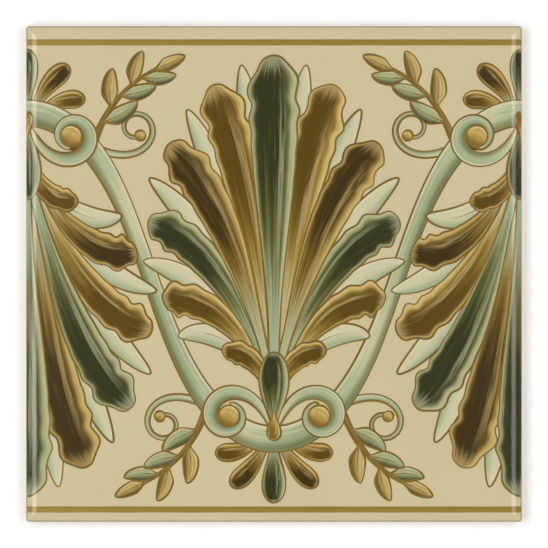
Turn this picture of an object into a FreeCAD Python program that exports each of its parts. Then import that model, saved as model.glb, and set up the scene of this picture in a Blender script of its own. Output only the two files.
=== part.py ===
"""A six-inch Victorian border tile: one dust-pressed ceramic slab with a cushioned face edge and a keyed back.

The tile lies glazed face up. The origin is the centre of its back, +X runs along the border and +Y is the
top of the pattern. All sizes are millimetres.
"""

import FreeCAD
import Part
import Sketcher
from FreeCAD import Vector

import math
import os

# Driving dimensions: alias, value, and what it is
SIZES = [
    ("tile_width", 152.0, "along the border, the six-inch size"),
    ("tile_height", 152.0, "across the border"),
    ("tile_thickness", 7.0, "back to glazed face"),
    ("corner_radius", 0.8, "plan corners, left soft by the pressing die"),
    ("cushion_width", 3.4, "how far in from the edge the face starts to fall away"),
    ("cushion_radius", 6.0, "curve of the falling face edge"),
    ("arris_radius", 0.7, "small round where the cushion turns into the side"),
    ("back_bevel", 0.6, "bevel round the back, which eases the tile out of the die"),
    ("rim_width", 8.0, "plain border of the back"),
    ("rib_width", 5.0, "land between two key recesses"),
    ("recess_depth", 0.6, "depth of a key recess"),
    ("recess_corner_radius", 2.0, "plan corners of a key recess"),
    ("recess_draft", 20.0, "slope of a recess wall from upright, in degrees"),
    ("recess_columns", 6, "key recesses along the border"),
    ("recess_rows", 6, "key recesses across the border"),
    ("cut_overrun", 1.0, "how far an edge cut reaches past the slab"),
]

# The points of a sketched curve, and the sketch's own root point
START, END, CENTRE = range(1, 4)
ROOT = (-1, 1)


def make_sheet(doc):
    """The spreadsheet of driving dimensions, one alias a row."""
    sheet = doc.addObject("Spreadsheet::Sheet", "Sizes")
    for row, (alias, value, meaning) in enumerate(SIZES, start=1):
        sheet.set(f"A{row}", alias)
        sheet.set(f"B{row}", str(value))
        sheet.set(f"C{row}", meaning)
        sheet.setAlias(f"B{row}", alias)
    doc.recompute()
    return sheet


def new_sketch(body, name, role):
    """An empty sketch on one of the body's own origin planes, found by its role."""
    plane = next(feature for feature in body.Origin.OriginFeatures if feature.Role == role)
    sketch = body.newObject("Sketcher::SketchObject", name)
    sketch.AttachmentSupport = (plane, [""])
    sketch.MapMode = "FlatFace"
    return sketch


def add_line(sketch, first, last):
    return sketch.addGeometry(Part.LineSegment(Vector(*first), Vector(*last)))


def add_arc(sketch, centre, radius, start_angle, end_angle):
    """A circular arc, counter-clockwise from one angle to the other, in radians."""
    circle = Part.Circle(Vector(*centre), Vector(0, 0, 1), radius)
    return sketch.addGeometry(Part.ArcOfCircle(circle, start_angle, end_angle))


def tie(sketch, kind, *references):
    sketch.addConstraint(Sketcher.Constraint(kind, *references))


def drive(sketch, name, kind, references, value, expression):
    """A named dimension of the sketch that follows an expression on the sheet."""
    index = sketch.addConstraint(Sketcher.Constraint(kind, *references, value))
    sketch.renameConstraint(index, name)
    sketch.setExpression(f"Constraints.{name}", expression)


def rounded_rectangle(body, name, left, bottom, width, height, radius):
    """A level sketch of a rectangle with round corners. Its place and sizes are expressions on the sheet."""
    sketch = new_sketch(body, name, "XY_Plane")

    # It is drawn at this size first, and the dimensions below give it its own
    side, rounding, quarter = 10.0, 1.0, math.pi / 2
    low, high = rounding, side - rounding
    lines = [
        add_line(sketch, (low, 0), (high, 0)),
        add_line(sketch, (side, low), (side, high)),
        add_line(sketch, (high, side), (low, side)),
        add_line(sketch, (0, high), (0, low)),
    ]
    arcs = [
        add_arc(sketch, (high, low), rounding, -quarter, 0),
        add_arc(sketch, (high, high), rounding, 0, quarter),
        add_arc(sketch, (low, high), rounding, quarter, 2 * quarter),
        add_arc(sketch, (low, low), rounding, 2 * quarter, 3 * quarter),
    ]

    # Each line runs into the arc at its end, and that arc into the next line
    for line, arc, next_line in zip(lines, arcs, lines[1:] + lines[:1]):
        tie(sketch, "Tangent", line, END, arc, START)
        tie(sketch, "Tangent", arc, END, next_line, START)
    for arc in arcs[1:]:
        tie(sketch, "Equal", arcs[0], arc)
    bottom_line, right_line, top_line, left_line = lines
    for level in (bottom_line, top_line):
        tie(sketch, "Horizontal", level)
    for upright in (left_line, right_line):
        tie(sketch, "Vertical", upright)

    drive(sketch, "left", "DistanceX", (*ROOT, left_line, START), 0.0, left)
    drive(sketch, "bottom", "DistanceY", (*ROOT, bottom_line, START), 0.0, bottom)
    drive(sketch, "width", "DistanceX", (left_line, START, right_line, START), side, width)
    drive(sketch, "height", "DistanceY", (bottom_line, START, top_line, START), side, height)
    drive(sketch, "radius", "Radius", (arcs[0],), rounding, radius)
    return sketch


def edge_section(body, name, role, span, sheet):
    """An upright sketch of what is cut from the two edges at the ends of a span, as seen along those edges.

    Each end has two closed outlines. The upper one follows the cushion from the face, then the arris down to
    the side. The lower one is the three-cornered bevel of the back.
    """
    sketch = new_sketch(body, name, role)
    half, top = getattr(sheet, span) / 2, sheet.tile_thickness
    width, curve, arris = sheet.cushion_width, sheet.cushion_radius, sheet.arris_radius
    bevel, overrun = sheet.back_bevel, sheet.cut_overrun

    # The arris arc lies inside the cushion arc and touches it where their shared normal points
    across = width - arris
    up = math.sqrt((curve - arris) ** 2 - across**2)
    normal = math.atan2(up, across)
    shoulder = top - curve + up

    for end, sign in (("right", 1), ("left", -1)):
        edge, out, inner = sign * half, sign * (half + overrun), sign * (half - width)
        if sign > 0:
            cushion = add_arc(sketch, (inner, top - curve), curve, normal, math.pi / 2)
            round_off = add_arc(sketch, (edge - arris, shoulder), arris, 0, normal)
            face_point, cushion_point, arris_point, side_point = END, START, END, START
        else:
            cushion = add_arc(sketch, (inner, top - curve), curve, math.pi / 2, math.pi - normal)
            round_off = add_arc(sketch, (edge + arris, shoulder), arris, math.pi - normal, math.pi)
            face_point, cushion_point, arris_point, side_point = START, END, START, END
        shelf = add_line(sketch, (edge, shoulder), (out, shoulder))
        outside = add_line(sketch, (out, shoulder), (out, top + overrun))
        lid = add_line(sketch, (out, top + overrun), (inner, top + overrun))
        drop = add_line(sketch, (inner, top + overrun), (inner, top))

        tie(sketch, "Tangent", cushion, cushion_point, round_off, arris_point)
        tie(sketch, "Coincident", round_off, side_point, shelf, START)
        tie(sketch, "Coincident", shelf, END, outside, START)
        tie(sketch, "Coincident", outside, END, lid, START)
        tie(sketch, "Coincident", lid, END, drop, START)
        tie(sketch, "Coincident", drop, END, cushion, face_point)
        tie(sketch, "Vertical", cushion, CENTRE, cushion, face_point)
        tie(sketch, "Horizontal", round_off, CENTRE, round_off, side_point)
        for level in (shelf, lid):
            tie(sketch, "Horizontal", level)
        for upright in (outside, drop):
            tie(sketch, "Vertical", upright)

        edge_at = f"{sign} * Sizes.{span} / 2"
        out_at = f"{sign} * (Sizes.{span} / 2 + Sizes.cut_overrun)"
        drive(sketch, f"{end}_curve", "Radius", (cushion,), curve, "Sizes.cushion_radius")
        drive(sketch, f"{end}_arris", "Radius", (round_off,), arris, "Sizes.arris_radius")
        inner_at = f"{sign} * (Sizes.{span} / 2 - Sizes.cushion_width)"
        drive(sketch, f"{end}_inner", "DistanceX", (*ROOT, cushion, face_point), inner, inner_at)
        drive(sketch, f"{end}_face", "DistanceY", (*ROOT, cushion, face_point), top, "Sizes.tile_thickness")
        drive(sketch, f"{end}_edge", "DistanceX", (*ROOT, round_off, side_point), edge, edge_at)
        drive(sketch, f"{end}_out", "DistanceX", (*ROOT, shelf, END), out, out_at)
        lid_at = "Sizes.tile_thickness + Sizes.cut_overrun"
        drive(sketch, f"{end}_lid", "DistanceY", (*ROOT, lid, END), top + overrun, lid_at)

        # The bevel's slope is carried on past the slab on both sides of the corner
        foot = (sign * (half - bevel - overrun), -overrun)
        tip = (out, bevel + overrun)
        slope = add_line(sketch, foot, tip)
        wall = add_line(sketch, tip, (out, -overrun))
        floor = add_line(sketch, (out, -overrun), foot)
        tie(sketch, "Coincident", slope, END, wall, START)
        tie(sketch, "Coincident", wall, END, floor, START)
        tie(sketch, "Coincident", floor, END, slope, START)
        tie(sketch, "Vertical", wall)
        tie(sketch, "Horizontal", floor)
        foot_at = f"{sign} * (Sizes.{span} / 2 - Sizes.back_bevel - Sizes.cut_overrun)"
        drive(sketch, f"{end}_foot", "DistanceX", (*ROOT, slope, START), foot[0], foot_at)
        drive(sketch, f"{end}_tip_out", "DistanceX", (*ROOT, slope, END), out, out_at)
        tip_at = "Sizes.back_bevel + Sizes.cut_overrun"
        drive(sketch, f"{end}_tip", "DistanceY", (*ROOT, slope, END), tip[1], tip_at)
        drive(sketch, f"{end}_floor", "DistanceY", (*ROOT, floor, END), -overrun, "-Sizes.cut_overrun")
    return sketch


def make_tile(doc, sheet):
    """The tile's body: slab, cushioned face edge, bevelled back and the grid of key recesses."""
    body = doc.addObject("PartDesign::Body", "border_tile")
    body.Label = "border_tile"

    outline = rounded_rectangle(
        body,
        "Tile_Outline",
        left="-Sizes.tile_width / 2",
        bottom="-Sizes.tile_height / 2",
        width="Sizes.tile_width",
        height="Sizes.tile_height",
        radius="Sizes.corner_radius",
    )
    slab = body.newObject("PartDesign::Pad", "Pressed_Slab")
    slab.Profile = outline
    slab.setExpression("Length", "Sizes.tile_thickness")
    doc.recompute()

    # The cuts along the two pairs of edges meet in a mitre at each corner
    edge_pairs = [
        ("Side_Edges", "XZ_Plane", "tile_width", "tile_height"),
        ("End_Edges", "YZ_Plane", "tile_height", "tile_width"),
    ]
    for name, role, span, run in edge_pairs:
        cut = body.newObject("PartDesign::Pocket", name)
        cut.Profile = edge_section(body, f"{name}_Section", role, span, sheet)
        cut.Midplane = True
        cut.setExpression("Length", f"Sizes.{run} + 2 * Sizes.cut_overrun")
        doc.recompute()

    # The first recess stands at the back's lower left, and the grid repeats it along both sides
    pitch_along = "(Sizes.tile_width - 2 * Sizes.rim_width + Sizes.rib_width) / Sizes.recess_columns"
    pitch_across = "(Sizes.tile_height - 2 * Sizes.rim_width + Sizes.rib_width) / Sizes.recess_rows"
    recess_outline = rounded_rectangle(
        body,
        "Recess_Outline",
        left="-Sizes.tile_width / 2 + Sizes.rim_width",
        bottom="-Sizes.tile_height / 2 + Sizes.rim_width",
        width=f"{pitch_along} - Sizes.rib_width",
        height=f"{pitch_across} - Sizes.rib_width",
        radius="Sizes.recess_corner_radius",
    )
    recess = body.newObject("PartDesign::Pocket", "Key_Recess")
    recess.Profile = recess_outline
    recess.Reversed = True
    recess.setExpression("Length", "Sizes.recess_depth")
    recess.setExpression("TaperAngle", "-Sizes.recess_draft")
    doc.recompute()

    grid = body.newObject("PartDesign::LinearPattern", "Key_Grid")
    grid.Originals = [recess]
    grid.Direction = (recess_outline, ["H_Axis"])
    grid.Direction2 = (recess_outline, ["V_Axis"])
    grid.setExpression("Length", f"{pitch_along} * (Sizes.recess_columns - 1)")
    grid.setExpression("Length2", f"{pitch_across} * (Sizes.recess_rows - 1)")
    grid.setExpression("Occurrences", "Sizes.recess_columns")
    grid.setExpression("Occurrences2", "Sizes.recess_rows")
    body.Tip = grid
    doc.recompute()
    return body


def check(doc, parts):
    """Stops the build if a feature failed or a sub-part isn't a sound solid."""
    for item in doc.Objects:
        faults = [state for state in item.State if state in ("Invalid", "Error")]
        if faults:
            raise RuntimeError(f"{item.Name} is {', '.join(faults)}")
    for part in parts:
        if part.Shape.isNull() or not part.Shape.isValid() or len(part.Shape.Solids) != 1:
            raise RuntimeError(f"{part.Label} isn't one valid solid")


def main():
    doc = FreeCAD.newDocument("Border_Tile")
    sheet = make_sheet(doc)
    parts = [make_tile(doc, sheet)]
    check(doc, parts)
    os.makedirs("parts", exist_ok=True)
    for part in parts:
        part.Shape.exportStep(f"parts/{part.Label}.step")
        print(part.Label, part.Shape.BoundBox, round(part.Shape.Volume, 1), len(part.Shape.Faces), "faces")


main()
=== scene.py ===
import bpy
import numpy as np
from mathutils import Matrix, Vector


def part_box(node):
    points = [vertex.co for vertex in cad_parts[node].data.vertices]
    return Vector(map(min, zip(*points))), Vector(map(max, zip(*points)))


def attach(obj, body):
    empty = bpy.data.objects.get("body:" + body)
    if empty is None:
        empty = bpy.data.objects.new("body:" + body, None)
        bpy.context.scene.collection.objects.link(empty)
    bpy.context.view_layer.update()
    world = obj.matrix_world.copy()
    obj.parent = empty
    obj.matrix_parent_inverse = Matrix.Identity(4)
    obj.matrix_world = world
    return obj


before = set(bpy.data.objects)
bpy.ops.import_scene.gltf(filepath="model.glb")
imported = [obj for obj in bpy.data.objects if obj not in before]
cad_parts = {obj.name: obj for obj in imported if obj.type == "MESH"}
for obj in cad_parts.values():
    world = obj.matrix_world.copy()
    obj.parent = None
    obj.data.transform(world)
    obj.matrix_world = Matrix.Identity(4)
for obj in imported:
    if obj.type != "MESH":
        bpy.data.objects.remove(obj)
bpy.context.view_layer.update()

# The tile's body: one slab of buff earthenware, pressed as dry dust between steel dies and fired.
# Its keyed back, the bevel round it and the foot of its sides stay bare biscuit: a matt, faintly
# mottled clay with the grain of the dust and a few iron specks that burn dark in the kiln.
MM = 0.001
_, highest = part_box("border_tile")
HALF_SIDE = highest.x / MM
FACE = highest.z / MM

BISCUIT_BUFF = (206, 186, 150)
BISCUIT_WARM = (191, 163, 122)
IRON_SPECK = (112, 78, 50)
MOTTLES_A_METRE = 45.0
GRAINS_A_METRE = 2600.0
SPECKS_A_METRE = 900.0
GRAIN_HEIGHT = 0.06
CLAY_IOR = 1.45


class Shade:
    """A shader value in an expression. An operator on values adds its Math node to the tree."""

    def __init__(self, tree, socket=None):
        self.tree = tree
        self.socket = socket

    def fill(self, node, values):
        """Gives a node's sockets their links, where a value is a Shade, or else their numbers."""
        for name, value in values.items():
            if isinstance(value, Shade):
                self.tree.links.new(value.socket, node.inputs[name])
            else:
                node.inputs[name].default_value = value

    def node(self, kind, settings=None, values=None, output=0):
        """Any node: its type, then its settings, then its sockets' values, and the output to read."""
        made = self.tree.nodes.new(kind)
        for name, setting in (settings or {}).items():
            setattr(made, name, setting)
        self.fill(made, values or {})
        return Shade(self.tree, made.outputs[output])

    def maths(self, operation, *values):
        """A Math node's operation on values."""
        return self.node("ShaderNodeMath", {"operation": operation}, dict(enumerate(values)))

    def __add__(self, other):
        return self.maths("ADD", self, other)

    def __sub__(self, other):
        return self.maths("SUBTRACT", self, other)

    def __rsub__(self, other):
        return self.maths("SUBTRACT", other, self)

    def __mul__(self, other):
        return self.maths("MULTIPLY", self, other)

    def __abs__(self):
        return self.maths("ABSOLUTE", self)

    __radd__ = __add__
    __rmul__ = __mul__

    def rise(self, low, high):
        """0 below low and 1 above high, or the other way round, with a smooth step between."""
        values = {"Value": self, "From Min": low, "From Max": high}
        return self.node("ShaderNodeMapRange", {"interpolation_type": "SMOOTHSTEP"}, values)

    def blend(self, first, second):
        """The colour that goes from first to second as this value goes from 0 to 1."""
        return self.node("ShaderNodeMix", {"data_type": "RGBA"}, {0: self, 6: first, 7: second}, 2)

    def axis(self, letter):
        """One axis, X, Y or Z, of this vector."""
        return self.node("ShaderNodeSeparateXYZ", None, {0: self}, letter)

    def noise(self, scale, detail=2.0, roughness=0.5):
        """Cloudy noise from about 0.2 to 0.8 at this place, with scale features to its unit."""
        values = {"Vector": self, "Scale": scale, "Detail": detail, "Roughness": roughness}
        return self.node("ShaderNodeTexNoise", None, values)

    def bump(self, strength, height):
        """The normal of a surface that this value, from 0 to 1, raises by up to a height in millimetres."""
        values = {"Strength": strength, "Distance": height * MM, "Height": self}
        return self.node("ShaderNodeBump", None, values)


def display(colour):
    """The linear colour, with alpha, of an 8-bit display colour: the inverse of the sRGB curve."""
    share = np.array(colour) / 255
    linear = np.where(share <= 0.04045, share / 12.92, ((share + 0.055) / 1.055) ** 2.4)
    return (*linear.tolist(), 1.0)


def new_finish(name):
    """A material, its surface shader, and a Shade to start its expressions from."""
    finish = bpy.data.materials.new(name)
    finish.use_nodes = True
    return finish, finish.node_tree.nodes["Principled BSDF"], Shade(finish.node_tree)


biscuit, surface, shade = new_finish("fired_biscuit")
place = shade.node("ShaderNodeTexCoord", output="Object")
mottle = place.noise(MOTTLES_A_METRE, 4.0)
grain = place.noise(GRAINS_A_METRE)
specks = place.noise(SPECKS_A_METRE, 1.0).rise(0.70, 0.75)
clay = mottle.rise(0.3, 0.75).blend(display(BISCUIT_BUFF), display(BISCUIT_WARM))
shade.fill(surface, {
    "Base Color": specks.blend(clay, display(IRON_SPECK)),
    "Roughness": 0.72 + 0.2 * grain,
    "Normal": grain.bump(0.5, GRAIN_HEIGHT),
    "IOR": CLAY_IOR,
})
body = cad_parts["border_tile"]
for slot in body.material_slots:
    slot.material = biscuit

# The glaze: a coat of clear lead glaze, tinted cream, poured over the face before the second firing.
# It rounds the cushion and the arris, runs a little way down the sides and stops there in an uneven
# line where the maker wiped it. It is glossy, with the faint ripple of a glaze that has flowed.
CUSHION_WIDTH = 3.4
CUSHION_RADIUS = 6.0
CUSHION_START = HALF_SIDE - CUSHION_WIDTH
CUSHION_RINGS = 16
ARRIS_RADIUS = 0.7
ARRIS_RINGS = 8
CORNER_RADIUS = 0.8
CORNER_POINTS = 6
MITRE_RADIUS = 0.2
MITRE_FADE = 0.2
SIDE_POINTS = 64
GLAZE_THICKNESS = 0.05
LEVEL_INSETS = (75.0, 60.0, 40.0, 20.0, 8.0)
UNDER_INSETS = (1.0, 6.0, 75.0)
UNDER_DEPTHS = (1.6, 0.4, 0.4)

# The run down the sides: shares of its length, insets in thicknesses, and waves as count, height and start
GLAZE_RUN = 3.0
RUN_SHARES = (0.5, 0.9, 1.0, 1.0)
RUN_INSETS = (-0.9, -0.6, 0.0, 4.0)
RUN_UNEVENNESS = 0.28
RUN_WAVES = ((9, 1.0, 1.0), (23, 0.7, 4.0), (57, 0.4, 0.0))

CREAM = (211, 197, 156)
CREAM_THIN = (203, 186, 143)
# The darker edge cream is partly glaze pooled on the arris and partly painted shade, standing in for the
# dark line along the steep edge
CREAM_POOLED_SHADE = (150, 135, 96)
CREAM_RUN = (196, 178, 131)
POOL_SHADE_START = HALF_SIDE - 0.6
POOL_SHADE_END = HALF_SIDE - 0.1
RUN_FADE = 0.7
RUN_STRETCH = 0.12
RUNS_A_METRE = 150.0
CLOUDS_A_METRE = 28.0
RIPPLES_A_METRE = 260.0
RIPPLE_STRENGTH = 0.35
RIPPLE_HEIGHT = 0.02
GLAZE_IOR = 1.52

steepest = np.pi / 2 - np.arcsin((CUSHION_WIDTH - ARRIS_RADIUS) / (CUSHION_RADIUS - ARRIS_RADIUS))
shoulder = FACE - CUSHION_RADIUS + (CUSHION_RADIUS - ARRIS_RADIUS) * np.sin(steepest)
cushion_reach = CUSHION_RADIUS + GLAZE_THICKNESS
arris_reach = ARRIS_RADIUS + GLAZE_THICKNESS
arris_inset = ARRIS_RADIUS - arris_reach * np.cos(steepest)


def edge_height(inset):
    """Height of the glaze over a point inset from the edge: level inside the cushion, then the cushion's
    arc, and from where they touch the arris's arc."""
    fall = np.clip(CUSHION_WIDTH - inset, 0.0, CUSHION_WIDTH)
    drop = np.clip(ARRIS_RADIUS - inset, 0.0, ARRIS_RADIUS)
    cushion = FACE - CUSHION_RADIUS + np.sqrt(cushion_reach**2 - fall**2)
    return np.where(inset > arris_inset, cushion, shoulder + np.sqrt(arris_reach**2 - drop**2))


def face_height(x, y):
    """Height of the glaze at a point of the face: set by the nearest edge, so its corners mitre."""
    return edge_height(HALF_SIDE - np.maximum(np.abs(x), np.abs(y)))


def rounded_square(inset):
    """Points round a square inset from the tile's edge, one row for each inset. The corner's radius
    falls from the tile's to the mitre's as the inset grows, and each side is evenly divided."""
    radius = MITRE_RADIUS + (CORNER_RADIUS - MITRE_RADIUS) * np.exp(-np.clip(inset, 0, None) / MITRE_FADE)
    reach = (HALF_SIDE - inset)[:, None]
    radius = radius[:, None]
    step = np.linspace(-1.0, 1.0, SIDE_POINTS, endpoint=False)
    side = np.stack([np.broadcast_to(reach, (len(inset), SIDE_POINTS)), step * (reach - radius)], -1)
    turn = np.linspace(0.0, np.pi / 2, CORNER_POINTS, endpoint=False)
    arc = reach[..., None] - radius[..., None] * (1.0 - np.stack([np.cos(turn), np.sin(turn)], -1))
    quarter = np.concatenate([side, arc], axis=1)
    turns = [quarter]
    for _ in range(3):
        last = turns[-1]
        turns.append(np.stack([-last[..., 1], last[..., 0]], -1))
    return np.concatenate(turns, axis=1)


def tube_faces(rows, around, start=0):
    """Faces of a closed tube whose points are numbered from start: quads from each ring to the next,
    and a polygon over each end."""
    index = start + np.arange(rows * around).reshape(rows, around)
    ahead = np.roll(index, -1, axis=1)
    quads = np.stack([index[:-1], index[1:], ahead[1:], ahead[:-1]], -1).reshape(-1, 4)
    return quads.tolist() + [index[0].tolist(), index[-1, ::-1].tolist()]


def add_piece(name, points, faces, finish, smooth):
    """A mesh object at the origin from points in millimetres, smooth or faceted, on the tile's body."""
    mesh = bpy.data.meshes.new(name)
    mesh.from_pydata(points * MM, [], faces)
    mesh.polygons.foreach_set("use_smooth", np.full(len(faces), smooth))
    mesh.materials.append(finish)
    piece = bpy.data.objects.new(name, mesh)
    bpy.context.scene.collection.objects.link(piece)
    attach(piece, "root")
    return piece


cushion_turn = np.linspace(np.pi / 2, steepest, CUSHION_RINGS)
arris_turn = np.linspace(steepest, 0.0, ARRIS_RINGS + 1)[1:]
inset = np.concatenate([
    LEVEL_INSETS,
    CUSHION_WIDTH - cushion_reach * np.cos(cushion_turn),
    ARRIS_RADIUS - arris_reach * np.cos(arris_turn),
    GLAZE_THICKNESS * np.array(RUN_INSETS),
    UNDER_INSETS,
])
outline = rounded_square(inset)
round_tile = np.linspace(0.0, 2 * np.pi, outline.shape[1], endpoint=False)
waves = sum(size * np.sin(count * round_tile + start) for count, size, start in RUN_WAVES)
run_end = FACE - GLAZE_RUN + RUN_UNEVENNESS * waves
heights = [
    np.full((len(LEVEL_INSETS), 1), FACE + GLAZE_THICKNESS),
    (FACE - CUSHION_RADIUS + cushion_reach * np.sin(cushion_turn))[:, None],
    (shoulder + arris_reach * np.sin(arris_turn))[:, None],
    shoulder + (run_end - shoulder) * np.array(RUN_SHARES)[:, None],
    FACE - np.array(UNDER_DEPTHS)[:, None],
]
height = np.concatenate([np.broadcast_to(part, (len(part), len(round_tile))) for part in heights])

glaze, surface, shade = new_finish("cream_glaze")
place = shade.node("ShaderNodeTexCoord", output="Object")
outward = shade.maths("MAXIMUM", abs(place.axis("X")), abs(place.axis("Y")))
# Painted shade, with some real pooling: the glaze turns darker over the last half-millimetre to the edge
# and down the arris
pooled_shade = outward.rise(POOL_SHADE_START * MM, POOL_SHADE_END * MM)
upright = shade.node("ShaderNodeMapping", None, {"Vector": place, "Scale": (1.0, 1.0, RUN_STRETCH)})
runs = 0.45 + 0.55 * upright.noise(RUNS_A_METRE).rise(0.3, 0.7)
below = place.axis("Z").rise(shoulder * MM, (shoulder - RUN_FADE) * MM)
edge_tone = (below * runs).blend(display(CREAM_POOLED_SHADE), display(CREAM_RUN))
cloud = place.noise(CLOUDS_A_METRE, 3.0)
cream = (0.5 * cloud.rise(0.3, 0.8)).blend(display(CREAM), display(CREAM_THIN))
shade.fill(surface, {
    "Base Color": pooled_shade.blend(cream, edge_tone),
    "Roughness": 0.09 + 0.05 * cloud,
    "Normal": place.noise(RIPPLES_A_METRE, 1.0).bump(RIPPLE_STRENGTH, RIPPLE_HEIGHT),
    "IOR": GLAZE_IOR,
})
coat_points = np.concatenate([outline, height[..., None]], -1)
coat_faces = tube_faces(len(inset), len(round_tile))
add_piece("glaze_coat", coat_points.reshape(-1, 3), coat_faces, glaze, smooth=True)

# The stripes: two bands of ochre enamel that frame the border, drawn with a banding brush along a rule.
# They run from joint to joint, so that a row of tiles carries two unbroken lines. The colour pools at
# the margins of the stroke and thins in its middle.
LAYER = 0.0085
FILM_KEY = 0.012
PAINT_EDGE = HALF_SIDE - 0.12
STRIPE_WIDTH = 1.85
STRIPE_HEIGHTS = (71.0, -72.2)
STRIPE_ROWS = 240
STRIPE_COLUMNS = 7
WAVER = 0.02
WAVER_A_MM = 0.31
STRIPE_STREAKS = 0.6
HAND_SEED = 11
hand = np.random.default_rng(HAND_SEED)

OCHRE = {"root": (160, 135, 63), "mid": (154, 129, 58), "core": (150, 125, 55), "rim": (134, 110, 46)}


def across_tile(count):
    """Places from edge to edge of the tile, closer together near the edges where the face falls away."""
    share = np.linspace(-1.0, 1.0, count)
    return PAINT_EDGE * (1.5 * share - 0.5 * share**3)


def brushed(points, along, across, straight=None):
    """A stroke's grid of points with its brush coordinates: how far along it from 0 to 1, how far out to
    its margins from -1 to 1, and how far out from its middle in the straight line of the hairs."""
    along, across = np.broadcast_arrays(along[:, None], across)
    straight = across if straight is None else straight
    return {"points": points, "brush": np.stack([along, across, straight], -1)}


def stroke(grid, level, pigment, lit=1.0, rounding=0.0):
    """One brush stroke: its grid, its level in the pile of films and its pigment. lit is 1 where its left
    side faces the light, and rounding is 1 where its far side is shaded as on something round."""
    return {**grid, "level": level, "pigment": pigment, "touch": (hand.random(), lit, rounding)}


def lay_films(name, strokes, finish):
    """A piece of closed films. Each film's top is a stroke's grid, raised over the glaze by its level.
    Two points a row, keyed into the glaze below the margins, close it underneath. Its UV map is the plan
    of the tile, with the higher films last."""
    rings = []
    faces = []
    marks = {part: [] for part in ("brush", "touch", "root", "mid", "core", "rim")}
    count = 0
    for item in sorted(strokes, key=lambda one: one["level"]):
        rows, columns = item["points"].shape[:2]
        around = [*range(columns), columns - 1, 0]
        ring = item["points"][:, around]
        lift = np.full(columns + 2, (item["level"] + 1) * LAYER)
        lift[-2:] = -FILM_KEY
        height = face_height(ring[..., 0], ring[..., 1]) + lift
        rings.append(np.concatenate([ring, height[..., None]], -1).reshape(-1, 3))
        faces += tube_faces(rows, columns + 2, count)
        marks["brush"].append(item["brush"][:, around].reshape(-1, 3))
        marks["touch"].append(np.tile(item["touch"], (height.size, 1)))
        for part, colour in item["pigment"].items():
            marks[part].append(np.tile(display(colour), (height.size, 1)))
        count += height.size
    points = np.concatenate(rings)
    mesh = add_piece(name, points, faces, finish, smooth=False).data
    for part, values in marks.items():
        kind, field = ("FLOAT_VECTOR", "vector") if part in ("brush", "touch") else ("FLOAT_COLOR", "color")
        mesh.attributes.new(part, kind, "POINT").data.foreach_set(field, np.concatenate(values).ravel())
    owner = np.empty(len(mesh.loops), int)
    mesh.loops.foreach_get("vertex_index", owner)
    plan = 0.5 + points[owner, :2] / (2 * HALF_SIDE)
    mesh.uv_layers.new(name="OFBake").data.foreach_set("uv", plan.ravel())


def enamel_finish(name, streaks=1.0):
    """Enamel under gloss. Along a flat stroke the colour goes from its root through its middle to its core,
    and on a round one the core lies on the side away from the light. Streaks follow the hairs of the
    brush, and the margins and the tip take the rim's colour, most of all on the lit side."""
    finish, surface, shade = new_finish(name)

    def mark(part, output):
        """One of the marks that lay_films leaves on a film's points."""
        return shade.node("ShaderNodeAttribute", {"attribute_name": part}, output=output)

    tone = {part: mark(part, "Color") for part in ("root", "mid", "core", "rim")}
    brush = mark("brush", "Vector")
    touch = mark("touch", "Vector")
    along, across, straight = (brush.axis(letter) for letter in "XYZ")
    seed, lit, rounding = (touch.axis(letter) for letter in "XYZ")
    side = across * lit

    def hairs(lengthwise, crosswise, slip, turn):
        """Noise about 0 in streaks, so many along the stroke and across it, moved on by its seed."""
        at = {"X": along * lengthwise + seed * slip, "Y": straight * crosswise, "Z": seed * turn}
        return shade.node("ShaderNodeCombineXYZ", None, at).noise(1.0, 3.0, 0.6) - 0.5

    broad = hairs(2.4, 4.0, 17.0, 31.0)
    fine = hairs(5.0, 13.0, 23.0, 11.0)
    way = along + broad * (0.7 * streaks)
    margin = 1.0 - abs(side + 0.15)
    depth = (margin + fine * (0.7 * streaks)).rise(0.05, 0.5)
    drawn_out = way.rise(0.22, 0.66) * depth
    turned_away = (fine * 0.5 - side).rise(-0.1, 0.95)
    dark = drawn_out + rounding * (turned_away - drawn_out)

    colour = way.rise(0.02, 0.42).blend(tone["root"], tone["mid"])
    core = (0.4 * (fine + broad).rise(0.05, 0.45)).blend(tone["core"], tone["mid"])
    colour = dark.blend(colour, core)
    gleam = (1.0 - 5.0 * abs(side - 0.32 + broad * 0.9)).rise(0.0, 1.0)
    gleam = gleam * along.rise(0.2, 0.5) * along.rise(0.98, 0.7) * 0.5
    lit_margin = (side + fine * 0.4).rise(0.55, 0.88) * 0.9
    far_margin = (fine * 0.3 - side).rise(0.74, 0.96) * (1.0 - rounding) * 0.7
    worn_tip = (along + fine * 0.12).rise(0.93, 1.0) * 0.6
    for thinned in (gleam, lit_margin, far_margin, worn_tip):
        colour = thinned.blend(colour, tone["rim"])

    place = shade.node("ShaderNodeTexCoord", output="Object")
    shade.fill(surface, {
        "Base Color": colour,
        "Roughness": 0.14 + 0.08 * fine,
        "Normal": place.noise(RIPPLES_A_METRE, 1.0).bump(RIPPLE_STRENGTH, RIPPLE_HEIGHT),
        "IOR": GLAZE_IOR,
    })
    return finish


stripe_run = across_tile(STRIPE_ROWS)
stripe_along = np.linspace(0.0, 1.0, STRIPE_ROWS)
stripe_across = np.linspace(-1.0, 1.0, STRIPE_COLUMNS)
stripes = []
for middle in STRIPE_HEIGHTS:
    half = STRIPE_WIDTH / 2 * (1.0 + WAVER * np.sin(WAVER_A_MM * stripe_run + middle))
    points = np.stack(np.broadcast_arrays(stripe_run[:, None], middle + half[:, None] * stripe_across), -1)
    stripes.append(stroke(brushed(points, stripe_along, stripe_across), 0, OCHRE))
lay_films("ochre_stripes", stripes, enamel_finish("ochre_enamel", STRIPE_STREAKS))

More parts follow.
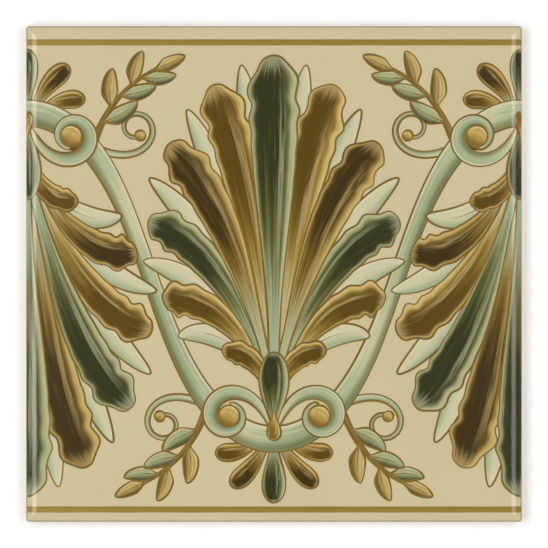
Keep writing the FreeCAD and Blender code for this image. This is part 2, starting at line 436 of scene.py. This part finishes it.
# The wave stem: the running stem that carries the border from tile to tile, brushed in thin aqua enamel
# with an olive shade below. It swings low in the middle of the tile and high at its joints, where its
# crest meets the next tile's.
MIDDLE = -0.6
SWING = 50.0
TURN_ROUNDNESS = 3.5
STEM_HALF = 3.2
STEM_SWELL = 0.8
STEM_ROWS = 360
STEM_COLUMNS = 11
STEM_LEVEL = 3
STEM_ROUNDING = 0.85

AQUA = {"root": (204, 200, 158), "mid": (168, 180, 140), "core": (106, 110, 62), "rim": (216, 209, 172)}


def stem_point(phase):
    """A point on the stem's middle line at a phase from -pi to pi over the tile: its height is a cosine,
    low in the middle, and a sine of twice the phase widens its turns."""
    x = HALF_SIDE * phase / np.pi + TURN_ROUNDNESS * np.sin(2 * phase)
    return np.stack([x, MIDDLE - SWING * np.cos(phase)], -1)


def left_of(path):
    """The directions square to a path, on its left."""
    ahead = np.gradient(path, axis=0)
    ahead /= np.linalg.norm(ahead, axis=1, keepdims=True)
    return np.stack([-ahead[:, 1], ahead[:, 0]], -1)


def lay_rows(middle, left, halves, columns):
    """The points of a stroke's rows, and how far out to its margins they lie. A row runs square across the
    middle line from the right half-width to the left one, with its points at the cosines of even angles.
    A row that would pass a joint at the tile's side is cut off there."""
    right_half, left_half = (half[:, None] for half in halves)
    with np.errstate(divide="ignore"):
        joints = np.sort((np.array([-PAINT_EDGE, PAINT_EDGE]) - middle[:, :1]) / left[:, :1], axis=1)
    low = np.maximum(joints[:, :1], -right_half)
    high = np.minimum(joints[:, 1:], left_half)
    out = low + (high - low) * (0.5 - 0.5 * np.cos(np.linspace(0.0, np.pi, columns)))
    across = out / np.where(out > 0, left_half, right_half)
    return middle[:, None] + out[..., None] * left[:, None], across


leaf_enamel = enamel_finish("leaf_enamel")
stem_phase = np.pi * across_tile(STEM_ROWS) / HALF_SIDE
stem_half = STEM_HALF + STEM_SWELL * np.cos(2 * stem_phase)
stem_path = stem_point(stem_phase)
stem_points, stem_across = lay_rows(stem_path, left_of(stem_path), (stem_half, stem_half), STEM_COLUMNS)
stem_points[[0, -1], :, 0] = PAINT_EDGE * np.array([[-1.0], [1.0]])
stem_along = 0.4 + 0.25 * np.sin(4 * stem_phase)
stem = stroke(brushed(stem_points, stem_along, stem_across), STEM_LEVEL, AQUA, rounding=STEM_ROUNDING)
lay_films("wave_stem", [stem], leaf_enamel)

# The palmettes: fans of leaves that stand on the stem's low turn and hang from its high turns, painted
# in umber, brown and olive enamels that the brush draws out from a pale heart to full dark tips. Thinner
# leaves in aqua and cream show between them.
HEART = -30.0
SPINE_STEPS = 240
LEAF_COLUMNS = 13
EDGE_LEAF_COLUMNS = 31
NIBBLES = 5.5
LIGHT_FROM = 60.0
CURL = 180.0
COPY_STEP = 0.15
PALE_LEVEL = STEM_LEVEL + 1
FINGER_LEVEL = STEM_LEVEL + 3

UMBER = {"root": (178, 182, 140), "mid": (146, 117, 46), "core": (64, 48, 12), "rim": (204, 177, 110)}
BROWN = {"root": (198, 190, 142), "mid": (160, 130, 54), "core": (92, 70, 16), "rim": (214, 187, 122)}
OLIVE = {"root": (164, 176, 138), "mid": (118, 117, 64), "core": (52, 53, 24), "rim": (186, 188, 142)}
PALE = {"root": (150, 164, 124), "mid": (206, 200, 162), "core": (160, 174, 136), "rim": (222, 213, 176)}


def spine(x, y, heading, length, turn, bend, curl, along):
    """Points and headings at shares along a leaf's middle line. It leaves (x, y) at a heading that turns
    by turn * t ** bend + curl * t ** 6 degrees, and its points are the running sum of its steps."""
    fine = np.linspace(0.0, 1.0, SPINE_STEPS + 1)
    angle = np.radians(heading + turn * fine**bend + curl * fine**6)
    steps = np.exp(1j * (angle[1:] + angle[:-1]) / 2) * length / SPINE_STEPS
    line = x + 1j * y + np.concatenate([[0], np.cumsum(steps)])
    at = np.interp(along, fine, line.real), np.interp(along, fine, line.imag)
    return np.stack(at, -1), np.interp(along, fine, angle)


def blade(x, y, heading, length, turn=0.0, bend=1.6, curl=0.0, root=1.2, tip=5.0, belly=0.0, cap=0.85,
          point=1.0, ragged=0.0):
    """A leaf's grid along its spine. Its half-width goes from root to tip along a half cosine up to
    t = cap, with a half sine of belly between, and then closes as a sine to the power of point. Each
    margin waves by ragged, most at the tip. A longer or more curved leaf has more rows."""
    swelling = np.linspace(0.0, 1.0, 12 + int(0.7 * length + abs(turn) / 7), endpoint=False)
    closing = np.linspace(np.pi / 2, 0.05, 12 + int(1.5 * tip))
    along = np.concatenate([cap * swelling, cap + (1 - cap) * np.cos(closing)])
    swell = root + (tip - root) * (0.5 - 0.5 * np.cos(np.pi * swelling)) + belly * np.sin(np.pi * swelling)
    breadth = np.concatenate([swell, tip * np.sin(closing) ** point])
    middle, angle = spine(x, y, heading, length, turn, bend, curl, along)
    left = np.stack([-np.sin(angle), np.cos(angle)], -1)
    from_tip = np.concatenate([np.pi / 2 + (1 - swelling) * cap * length / tip, closing])
    nibble = ragged * np.exp(-np.clip(from_tip - np.pi / 2, 0.0, None)) * np.clip(from_tip, 0.0, 1.0)
    waves = [1.0 + nibble * np.sin(NIBBLES * from_tip + 2 * np.pi * hand.random()) for _ in range(2)]
    columns = EDGE_LEAF_COLUMNS if abs(x) > CUSHION_START else LEAF_COLUMNS
    points, across = lay_rows(middle, left, [breadth * wave for wave in waves], columns)
    straight = across * np.where(across > 0, waves[1][:, None], waves[0][:, None])
    return {**brushed(points, along, across, straight), "middle": middle}


def lit_side(heading, turn):
    """1 where a leaf's left is its lit side and -1 where its right is: the outer side of a curl, or else
    the side that faces the light half-way along the leaf."""
    if abs(turn) > CURL:
        return -np.sign(turn)
    return np.sign(np.cos(np.radians(heading + turn / 2 + 90 - LIGHT_FROM)))


def repeat_leaf(level, pigment, x, y, heading, length, turn=0.0, curl=0.0, hanging=None, rounding=0.0,
                **form):
    """The strokes of one leaf of the repeat: right and left of the middle of the tile, then the other
    way up at its side edges, where half of the next repeat begins, in the hanging pigment if it has one.
    A leaf on the axis is drawn once in the middle. Each copy lies a little below the one before."""
    strokes = []
    on_axis = x == 0 and turn == 0
    for side in (1,) if on_axis else (1, -1):
        toward = 90 + side * (heading - 90)
        grid = blade(side * x, y, toward, length, side * turn, curl=side * curl, **form)
        lit = lit_side(toward, side * turn)
        strokes.append(stroke(grid, level - COPY_STEP * (side < 0), pigment, lit, rounding))
    for edge in (1, -1):
        toward = -90 + edge * (heading - 90)
        foot = (edge * (HALF_SIDE - x), 2 * MIDDLE - y)
        grid = blade(*foot, toward, length, edge * turn, curl=edge * curl, **form)
        lit = lit_side(toward, edge * turn)
        strokes.append(stroke(grid, level - 2 * COPY_STEP, hanging or pigment, lit, rounding))
    return strokes


# A leaf's step is its place out from the fan's axis: the further out, the shorter and the more bent
pale_leaves = []
for number, step in enumerate((4.5, 3.5, 2.5, 1.5, 0.5)):
    pale_leaves += repeat_leaf(
        PALE_LEVEL + number % 2, PALE, x=0.8 * step, y=HEART + 2 - 0.8 * step, heading=90 - 8 * step,
        length=96 - 5 * step - 2.1 * step**2, turn=-(2 + 5 * step + 2.6 * step**2), rounding=1.0,
        bend=1.7, root=1.0, tip=4.6 - 0.3 * step, cap=0.62, point=1.15)
lay_films("pale_leaves", pale_leaves, leaf_enamel)

fingers = []
for number, (step, pigment, hanging) in enumerate((
        (3, OLIVE, BROWN), (1, BROWN, UMBER), (4, BROWN, UMBER), (2, UMBER, OLIVE))):
    fingers += repeat_leaf(
        FINGER_LEVEL + number, pigment, x=0.9 * step, y=HEART + 4 - 1.1 * step, heading=90 - 7 * step,
        length=95 - 6 * step - 1.9 * step**2, turn=-(2 + 5 * step + 2.5 * step**2),
        curl=-10 * step + 1.5 * step**2, hanging=hanging,
        root=1.2, tip=7.0 - 0.5 * step, cap=0.87, ragged=0.16)
fingers += repeat_leaf(
    FINGER_LEVEL + 4, OLIVE, x=0, y=HEART + 4, heading=90, length=93,
    root=1.6, tip=7.4, cap=0.86, ragged=0.12)
lay_films("palmette_leaves", fingers, leaf_enamel)

# The calyx: the cup from which each palmette opens, in the same enamels, laid over the leaves' feet. Two
# scrolls spring from the stem and curl away round a gold eye in a shaded well, small leaves clasp the
# palmette's foot, and a boss covers the joint, with a gold drop where it meets the stem.
CALYX_LEVEL = FINGER_LEVEL + 5
SCROLL = {"x": 0.6, "y": HEART - 18, "heading": 70, "length": 50, "turn": -425}
SCROLL_BEND = 1.75
SCROLL_TIP = 0.6
WELL_STEP = 0.35
BERRY_ROWS = 28
BERRY_COLUMNS = 9
BERRY_POLE = 0.06

GOLD = {"root": (208, 180, 108), "mid": (184, 152, 78), "core": (128, 98, 34), "rim": (224, 200, 136)}


def berry(x, y, radius, toward):
    """A disc's grid: its rows cross a diameter at the cosines of even angles, as wide as the disc there."""
    angle = np.linspace(BERRY_POLE, np.pi - BERRY_POLE, BERRY_ROWS)
    across = np.linspace(-1.0, 1.0, BERRY_COLUMNS)
    reach = -radius * np.cos(angle)[:, None] + 1j * radius * np.sin(angle)[:, None] * across
    spot = x + 1j * y + reach * np.exp(1j * np.radians(toward))
    return brushed(np.stack([spot.real, spot.imag], -1), (1.0 - np.cos(angle)) / 2, across)


def repeat_berry(level, pigment, x, y, radius):
    """The strokes of one berry of the repeat, in the same four places as a leaf's."""
    spots = [(x, y), (-x, y), (HALF_SIDE - x, 2 * MIDDLE - y), (x - HALF_SIDE, 2 * MIDDLE - y)]
    grids = [berry(*spot, radius, LIGHT_FROM - 90) for spot in spots]
    return [stroke(grid, level, pigment, rounding=1.0) for grid in grids]


calyx = repeat_leaf(
    CALYX_LEVEL, AQUA, **SCROLL, rounding=STEM_ROUNDING,
    bend=SCROLL_BEND, root=0.4, tip=SCROLL_TIP, belly=1.75, cap=0.97)
scroll_end, scroll_angle = spine(**SCROLL, bend=SCROLL_BEND, curl=0.0, along=np.array([1.0]))
end_radius = SCROLL["length"] / np.radians(SCROLL_BEND * -SCROLL["turn"])
eye = scroll_end[0] + end_radius * np.array([np.sin(scroll_angle[0]), -np.cos(scroll_angle[0])])
calyx += repeat_berry(CALYX_LEVEL + 1, GOLD, *eye, end_radius - SCROLL_TIP)
wells = repeat_berry(CALYX_LEVEL - WELL_STEP, BROWN, *eye, end_radius + SCROLL_TIP)
calyx += repeat_leaf(
    CALYX_LEVEL + 2, BROWN, x=0.8, y=HEART - 9, heading=80, length=24, turn=-92,
    bend=1.6, root=1.2, tip=3.4, cap=0.8, ragged=0.1)
calyx += repeat_leaf(
    CALYX_LEVEL + 3, OLIVE, x=0, y=HEART - 20, heading=90, length=26, root=0.4, tip=4.6, cap=0.68)
calyx += repeat_leaf(
    CALYX_LEVEL + 4, GOLD, x=0, y=HEART - 12, heading=-90, length=9, root=0.3, tip=2.1, cap=0.74)
lay_films("palmette_calyx", wells + calyx, leaf_enamel)

# The buds: a small fan of five leaves on the outer side of each turn of the stem, each laid with one
# press of a full brush of brown, umber or olive enamel before the stem is drawn over their feet.
BUD_FOOT = stem_point(0.0)[1] - 1
buds = []
for step, pigment in ((2, BROWN), (1, UMBER)):
    buds += repeat_leaf(
        2 - step, pigment, x=2.0 * step, y=BUD_FOOT + 0.6 * step, heading=-90 + 26 * step,
        length=21 - 3 * step, turn=10 + 22 * step,
        bend=1.4, root=1.0, tip=3.3 - 0.3 * step, cap=0.76)
buds += repeat_leaf(2, OLIVE, x=0, y=BUD_FOOT, heading=-90, length=18.5, root=1.2, tip=3.6, cap=0.7)
lay_films("stem_buds", buds, leaf_enamel)

# The sprigs: a thin brown stalk that leaves the stem below each crest, with small leaves in turn on
# either side of it and one at its end, each half in shade. Lower down a bare tendril curls round a berry.
# All are enamel, laid with the tip of a fine brush before the stem is drawn over their feet.
SPRIG_PHASE = 0.78 * np.pi
STALK_BEND = 1.2
LEAF_SHARES = np.array([0.28, 0.44, 0.58, 0.72, 0.84, 0.98])
LEAF_SPREADS = np.array([44, -44, 42, -42, 40, 0])
LEAF_STEP = 0.05
TENDRIL_PHASE = 0.2 * np.pi
TENDRIL_BEND = 2.1
BERRY_RADIUS = 1.6

TWIG = {"root": (150, 122, 62), "mid": (132, 102, 46), "core": (84, 62, 20), "rim": (186, 156, 96)}
GREEN = {"root": (176, 178, 130), "mid": (160, 166, 116), "core": (62, 66, 32), "rim": (206, 202, 156)}
TAWNY = {"root": (196, 178, 118), "mid": (184, 158, 92), "core": (92, 72, 22), "rim": (220, 198, 138)}

sprig_foot = stem_point(SPRIG_PHASE)
STALK = {"x": sprig_foot[0], "y": sprig_foot[1], "heading": 106, "length": 33, "turn": 50}
sprigs = repeat_leaf(0, TWIG, **STALK, rounding=1.0, bend=STALK_BEND, root=0.9, tip=0.4, cap=0.97)
leaf_feet, foot_angles = spine(**STALK, bend=STALK_BEND, curl=0.0, along=LEAF_SHARES)
sprig_leaves = []
for number, (share, spread) in enumerate(zip(LEAF_SHARES, LEAF_SPREADS)):
    x, y = leaf_feet[number]
    sprig_leaves += repeat_leaf(
        1 + LEAF_STEP * number, GREEN if spread > 0 else TAWNY, x, y,
        heading=np.degrees(foot_angles[number]) + spread, length=13.5 - 3.5 * share,
        turn=-0.7 * spread - 1, rounding=1.0, root=0.4, tip=2.7 - 0.7 * share, cap=0.42, point=1.3)
tendril_foot = stem_point(TENDRIL_PHASE)
TENDRIL = {"x": tendril_foot[0], "y": tendril_foot[1], "heading": 24, "length": 46, "turn": -420}
sprigs += repeat_leaf(
    0, AQUA, **TENDRIL, rounding=STEM_ROUNDING, bend=TENDRIL_BEND, root=1.1, tip=0.5, cap=0.97)
tendril_end, _ = spine(**TENDRIL, bend=TENDRIL_BEND, curl=0.0, along=np.array([1.0]))
sprigs += repeat_berry(1, GOLD, *tendril_end[0], BERRY_RADIUS)
lay_films("side_sprigs", sprigs + sprig_leaves, leaf_enamel)

# The outlines: fine lines of gold-brown enamel, drawn with a pointed brush round every leaf and stem and
# up the middle of the paler leaves. Each is a thread of colour that swells and thins with the hand.
INK_HALF = 0.3
INK_STEP = 0.5
INK_STREAKS = 0.6
INK_COLUMNS = 2
VEIN_HALF = 0.25
VEIN_STEP = 0.425
VEIN_REACH = 0.8
VEIN_TAPER = 0.7
NEARLY_CLOSED = 0.5
JOINT_GAP = 0.01
NARROWEST = 1e-6
EDGE_LINE_POINTS = 4
EDGE_LINE_COLUMNS = 7

INK = {"root": (136, 108, 46), "mid": (130, 103, 43), "core": (116, 92, 38), "rim": (142, 114, 50)}


def finer_on_cushion(path):
    """A path with more points, evenly spaced, where it lies on the cushion, and whether it goes there."""
    sloping = np.abs(path[:, :2]).max(1) > CUSHION_START
    count = np.cumsum(np.where(sloping, EDGE_LINE_POINTS, 1))
    even = np.arange(count[0], count[-1] + 1)
    return np.stack([np.interp(even, count, axis) for axis in path.T], -1), sloping.any()


def ink_line(path, level, half=INK_HALF, taper=0.0):
    """A stroke of ink along a path, whose width swells and thins twice over its length and may taper. It
    leaves out the path's points on the joint, and closes a path whose ends nearly meet. Where a path has
    two more columns, they are its opposite points, and on its left the line stops half-way to them: at
    the square of the span to them, over twice the part of that span that lies along the row."""
    path = path[np.abs(path[:, 0]) < PAINT_EDGE - JOINT_GAP]
    if np.linalg.norm(path[0, :2] - path[-1, :2]) < NEARLY_CLOSED:
        path = np.concatenate([path, path[:1]])
    path, on_cushion = finer_on_cushion(path)
    middle, opposite = path[:, :2], path[:, 2:]
    left = left_of(middle)
    along = np.linspace(0.0, 1.0, len(path))
    press = half * (1.0 - taper * along) * (0.92 + 0.25 * np.sin(2 * np.pi * (2 * along + hand.random())))
    inner = press
    if opposite.size:
        span = opposite - middle
        half_way = (span**2).sum(1) / np.clip(2 * (span * left).sum(1), NARROWEST, None)
        inner = np.minimum(press, half_way)
    columns = EDGE_LINE_COLUMNS if on_cushion else INK_COLUMNS
    points, across = lay_rows(middle, left, (press, inner), columns)
    return stroke(brushed(points, along, across), level, INK)


def outline_of(item):
    """The line round a stroke: out along its right margin and back along its left one."""
    right, left = item["points"][:, 0], item["points"][:, -1]
    out = np.concatenate([right, left], axis=1)
    back = np.concatenate([left, right], axis=1)
    return ink_line(np.concatenate([out, back[::-1]]), item["level"] + INK_STEP)


def vein_of(item):
    """The line up the middle of a leaf, under the leaf's outline, that thins to a hair towards the tip."""
    path = item["middle"][:int(VEIN_REACH * len(item["middle"]))]
    return ink_line(path, item["level"] + VEIN_STEP, VEIN_HALF, VEIN_TAPER)


ink_enamel = enamel_finish("ink_enamel", INK_STREAKS)
palmette_lines = [outline_of(item) for item in pale_leaves + fingers + calyx]
palmette_lines += [vein_of(item) for item in pale_leaves]
lay_films("palmette_lines", palmette_lines, ink_enamel)
stem_lines = [outline_of(item) for item in buds + sprigs + sprig_leaves]
stem_lines += [vein_of(item) for item in sprig_leaves]
stem_lines += [ink_line(stem_points[:, margin], STEM_LEVEL + INK_STEP) for margin in (0, -1)]
lay_films("stem_lines", stem_lines, ink_enamel)

# The stage, in metres: a white table in a pale room whose ceiling is dim, so that the level face mirrors
# no light, with a soft lamp to the left of the camera and a weaker one to its right.
TABLE_SIZE = 6.0
TABLE_GAP = 0.02 * MM
TABLE_WHITE = (250, 250, 250)
TABLE_ROUGHNESS = 0.9
TABLE_GLOW = 0.12
WALL_TONE = 1.0
CEILING_TONE = 0.1
LAMP_SIZE = (0.9, 0.45)
LAMP_HEIGHT = 1.0
LAMP_REACH = 0.42
LEFT_POWER = 5.6
RIGHT_POWER = 4.2
CAMERA_HEIGHT = 1.5
FRAME_WIDTH = 168.0 * MM
SENSOR = 36.0


def grey(tone):
    """A linear grey, with alpha."""
    return (tone, tone, tone, 1.0)


table_points = TABLE_SIZE / 2 * np.array([(-1, -1, 0), (1, -1, 0), (1, 1, 0), (-1, 1, 0)])
table_points[:, 2] = -TABLE_GAP
table_mesh = bpy.data.meshes.new("table")
table_mesh.from_pydata(table_points, [], [(0, 1, 2, 3)])
table = bpy.data.objects.new("table", table_mesh)
bpy.context.scene.collection.objects.link(table)
table_white, surface, shade = new_finish("table_white")
seen = shade.node("ShaderNodeLightPath", output="Is Camera Ray")
seen = seen + shade.node("ShaderNodeLightPath", output="Is Glossy Ray")
seen = seen + shade.node("ShaderNodeLightPath", output="Is Transmission Ray")
shade.fill(surface, {
    "Base Color": display(TABLE_WHITE),
    "Roughness": TABLE_ROUGHNESS,
    "Emission Color": seen.blend(grey(0.0), grey(1.0)),
    "Emission Strength": TABLE_GLOW,
})
table_mesh.materials.append(table_white)

world = bpy.data.worlds.new("studio")
bpy.context.scene.world = world
world.use_nodes = True
shade = Shade(world.node_tree)
upward = shade.node("ShaderNodeTexCoord", output="Generated").axis("Z")
room = upward.rise(0.2, 0.75).blend(grey(WALL_TONE), grey(CEILING_TONE))
shade.fill(world.node_tree.nodes["Background"], {"Color": room, "Strength": 1.0})


def soft_lamp(name, side, power):
    """A rectangular area lamp that faces the tile, on the right where side is 1 and the left where -1."""
    lamp = bpy.data.lights.new(name, "AREA")
    lamp.shape = "RECTANGLE"
    lamp.size, lamp.size_y = LAMP_SIZE
    lamp.energy = power
    holder = bpy.data.objects.new(name, lamp)
    holder.location = (side * LAMP_REACH, 0.0, LAMP_HEIGHT)
    holder.rotation_euler = (-holder.location).to_track_quat("-Z", "Y").to_euler()
    bpy.context.scene.collection.objects.link(holder)


soft_lamp("left_lamp", -1, LEFT_POWER)
soft_lamp("right_lamp", 1, RIGHT_POWER)

camera = bpy.data.cameras.new("camera")
camera.sensor_width = SENSOR
camera.lens = SENSOR * (CAMERA_HEIGHT - highest.z) / FRAME_WIDTH
camera_holder = bpy.data.objects.new("camera", camera)
camera_holder.location = (0.0, 0.0, CAMERA_HEIGHT)
bpy.context.scene.collection.objects.link(camera_holder)
bpy.context.scene.camera = camera_holder
bpy.context.scene.view_settings.view_transform = "Standard"
